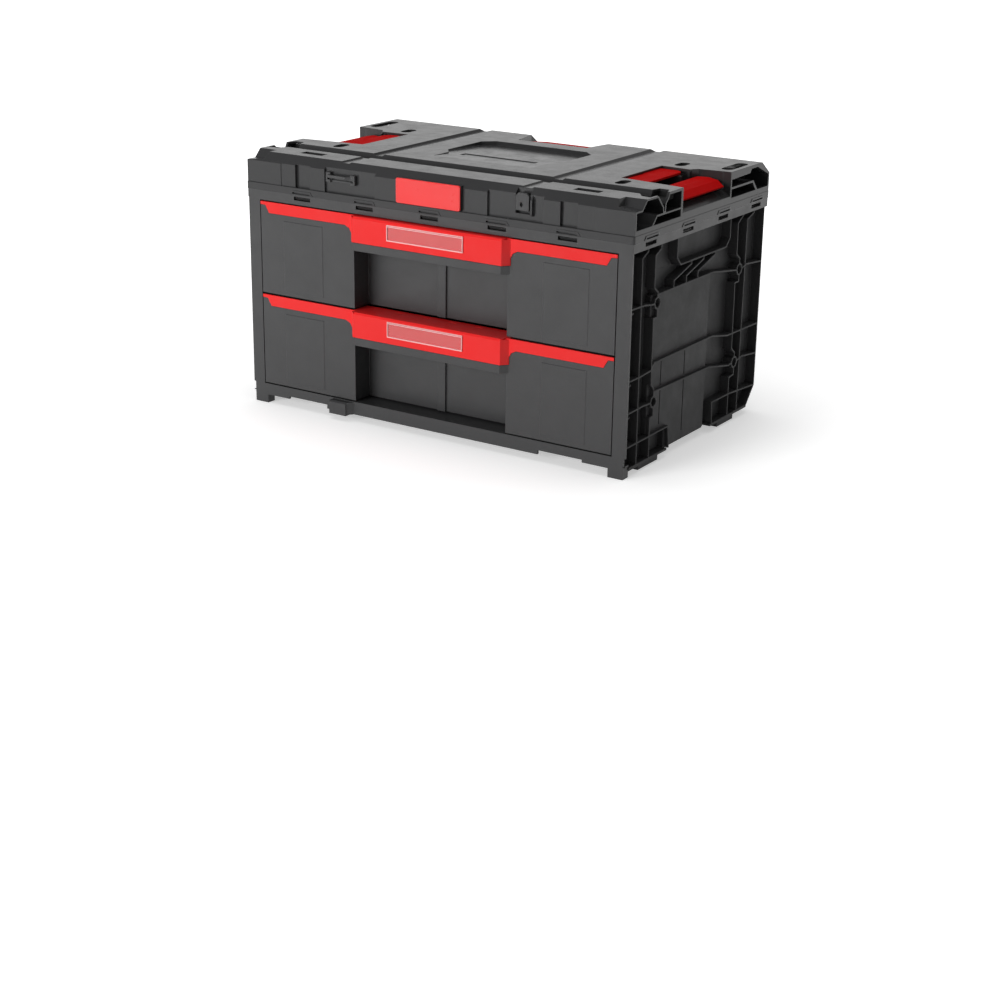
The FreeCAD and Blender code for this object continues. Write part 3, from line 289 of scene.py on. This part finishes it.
def prism_x(name, outline, x0, x1, material):
    """Bar along X with an outline of y and z, its edges softened."""
    count = len(outline)
    corners = [(x, y, z) for x in (x0, x1) for y, z in outline]
    ends = [tuple(range(count)), tuple(range(count, 2 * count))]
    walls = [(i, (i + 1) % count, (i + 1) % count + count, i + count) for i in range(count)]
    mesh = bpy.data.meshes.new(name)
    mesh.from_pydata(corners, [], ends + walls)
    mesh.materials.append(material)
    piece = bpy.data.objects.new(name, mesh)
    bpy.context.scene.collection.objects.link(piece)
    # all faces are turned outwards
    work = bmesh.new()
    work.from_mesh(mesh)
    bmesh.ops.recalc_face_normals(work, faces=work.faces)
    work.to_mesh(mesh)
    work.free()
    edge = piece.modifiers.new("edge", "BEVEL")
    edge.width = bar_edge
    edge.segments = edge_segments
    return piece


def block(name, low, high, material):
    """Box between two corners."""
    outline = ((low[1], low[2]), (high[1], low[2]), (high[1], high[2]), (low[1], high[2]))
    return prism_x(name, outline, low[0], high[0], material)


def label_holder(level, edge_material, pane_material):
    """Frame of moulded bars round a clear pane that lies deeper, in the place of the CAD window."""
    node = f"{level}_label_window"
    (x0, y0, z0), (x1, y1, z1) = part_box(node)
    low, top = z0 + lower_bar, z1 - upper_bars[0][1]
    bars = {
        "bottom": ((x0, y0, z0), (x1, y1, low)),
        "left": ((x0, y0, low), (x0 + side_bar, y1, top)),
        "right": ((x1 - side_bar, y0, low), (x1, y1, top)),
    }
    # the first upper bar spans the whole frame, and the next ones fit between its sides
    for number, (start, end) in enumerate(upper_bars):
        inset = side_bar if number else 0.0
        bars[f"top_{number}"] = ((x0 + inset, y0, z1 - end), (x1 - inset, y1, z1 - start))
    pieces = [block(f"{node}_{side}_bar", *corners, edge_material) for side, corners in bars.items()]
    pane_top = z1 - upper_bars[-1][1]
    pieces.append(block(f"{node}_pane", (x0 + side_bar, y0 + pane_depth, low),
                        (x1 - side_bar, y0 + pane_depth + pane_thick, pane_top), pane_material))
    for piece in pieces:
        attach(piece, f"{level}_drawer")
        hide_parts(node)


def label_holders():
    """The label holder of each drawer."""
    edge_material = plastic("window_edge", edge_pink, 0.25, grain=0.03, cloud=0.04)
    pane_material = clear_plastic("window_pane", pane_pink)
    for level in ("lower", "upper"):
        label_holder(level, edge_material, pane_material)


def channel_pockets():
    """Linings that close the pockets at both ends of the channel towards the open end cells, in a darker
    grey that paints shade into the pockets.
    """
    low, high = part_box("top_cover")
    material = plastic("pocket_shade_plastic", pocket_shade_grey, 0.8, gloss=0.05, painted_edge_highlight=0.1)
    out = high[0] - pocket_out
    inner = out - pocket_width
    walls = {
        "outer": (pocket_side, out, out + lining),
        "inner": (pocket_side, inner - lining, inner),
        "back": (pocket_back, inner, out),
        "floor": (pocket_floor, inner - lining, out + lining),
    }
    for side, turn in (("right", 1), ("left", -1)):
        for wall, (outline, x0, x1) in walls.items():
            placed = [(low[1] + y, high[2] + z) for y, z in outline]
            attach(prism_x(f"{side}_pocket_{wall}", placed, turn * x0, turn * x1, material), "case")


# Stage, light and camera

def stage():
    """White floor that keeps the shadow and throws little light back on the object."""
    bpy.ops.mesh.primitive_plane_add(size=floor_size)
    floor = bpy.context.object
    floor.name = "floor"
    s = Shader("floor")
    path = s.add("LightPath").outputs
    mirrored = s.maths("MAXIMUM", path["Is Glossy Ray"], path["Is Transmission Ray"])
    seen = s.maths("MAXIMUM", path["Is Camera Ray"], mirrored)
    place = s.add("TexCoord").outputs["Object"]
    away = s.add("VectorMath", {"operation": "LENGTH"}, s0=place).outputs["Value"]
    glow = s.maths("MULTIPLY", seen, s.span(away, glow_start, glow_end, glow_share, 1.0))
    body = s.add("BsdfDiffuse", Color=s.blend(seen, floor_lit, floor_seen))
    shine = s.add("Emission", Strength=glow)
    lit = s.add("AddShader", s0=body.outputs[0], s1=shine.outputs[0])
    floor.data.materials.append(s.finish(lit.outputs[0]))


def light():
    """World that is white to the camera and dim on the object, and the lamps."""
    world = bpy.data.worlds.new("world")
    bpy.context.scene.world = world
    s = Shader("world", world)
    path = s.add("LightPath").outputs
    height = s.add("SeparateXYZ", Vector=s.add("TexCoord").outputs["Generated"]).outputs["Z"]
    sky = s.span(height, sky_start, sky_end, low_sky, high_sky)
    clear = s.maths("MAXIMUM", path["Is Camera Ray"], path["Is Transmission Ray"])
    on_object = s.number(path["Is Glossy Ray"], fill_light, sky)
    strength = s.number(clear, on_object, 1.0)
    background = s.add("Background", Color=full_white, Strength=strength)
    s.finish(background.outputs[0], "OutputWorld")
    for name, (place, size, power, target) in lamps.items():
        lamp = bpy.data.objects.new(name, bpy.data.lights.new(name, "AREA"))
        lamp.visible_glossy = False
        lamp.data.size = size
        lamp.data.energy = power
        lamp.location = place
        aim = Vector(target) - Vector(place)
        lamp.rotation_euler = aim.to_track_quat("-Z", "Y").to_euler()
        bpy.context.scene.collection.objects.link(lamp)


def camera():
    """The photograph's camera, and colours shown as they are written."""
    data = bpy.data.cameras.new("camera")
    data.sensor_width = 36.0
    data.lens = focal_pixels * data.sensor_width / frame_pixels
    data.clip_end = 100.0
    view = bpy.data.objects.new("camera", data)
    turn = Matrix.Rotation(math.radians(camera_azimuth), 4, "Z")
    dip = Matrix.Rotation(math.radians(90.0 - camera_dip), 4, "X")
    roll = Matrix.Rotation(math.radians(camera_roll), 4, "Z")
    view.matrix_world = Matrix.Translation(camera_place) @ turn @ dip @ roll
    bpy.context.scene.collection.objects.link(view)
    bpy.context.scene.camera = view
    bpy.context.scene.view_settings.view_transform = "Standard"


dress_all()
soften(["nameplate"] + levels("handle_trim"), trim_edge, trim_segments)
soften(sides("latch_lever", "latch_hook") + ["rear_latch", "front_loop", "lock_slider"], latch_edge)
soften(levels("front_panel"), panel_edge)
label_holders()
channel_pockets()
stage()
light()
camera()
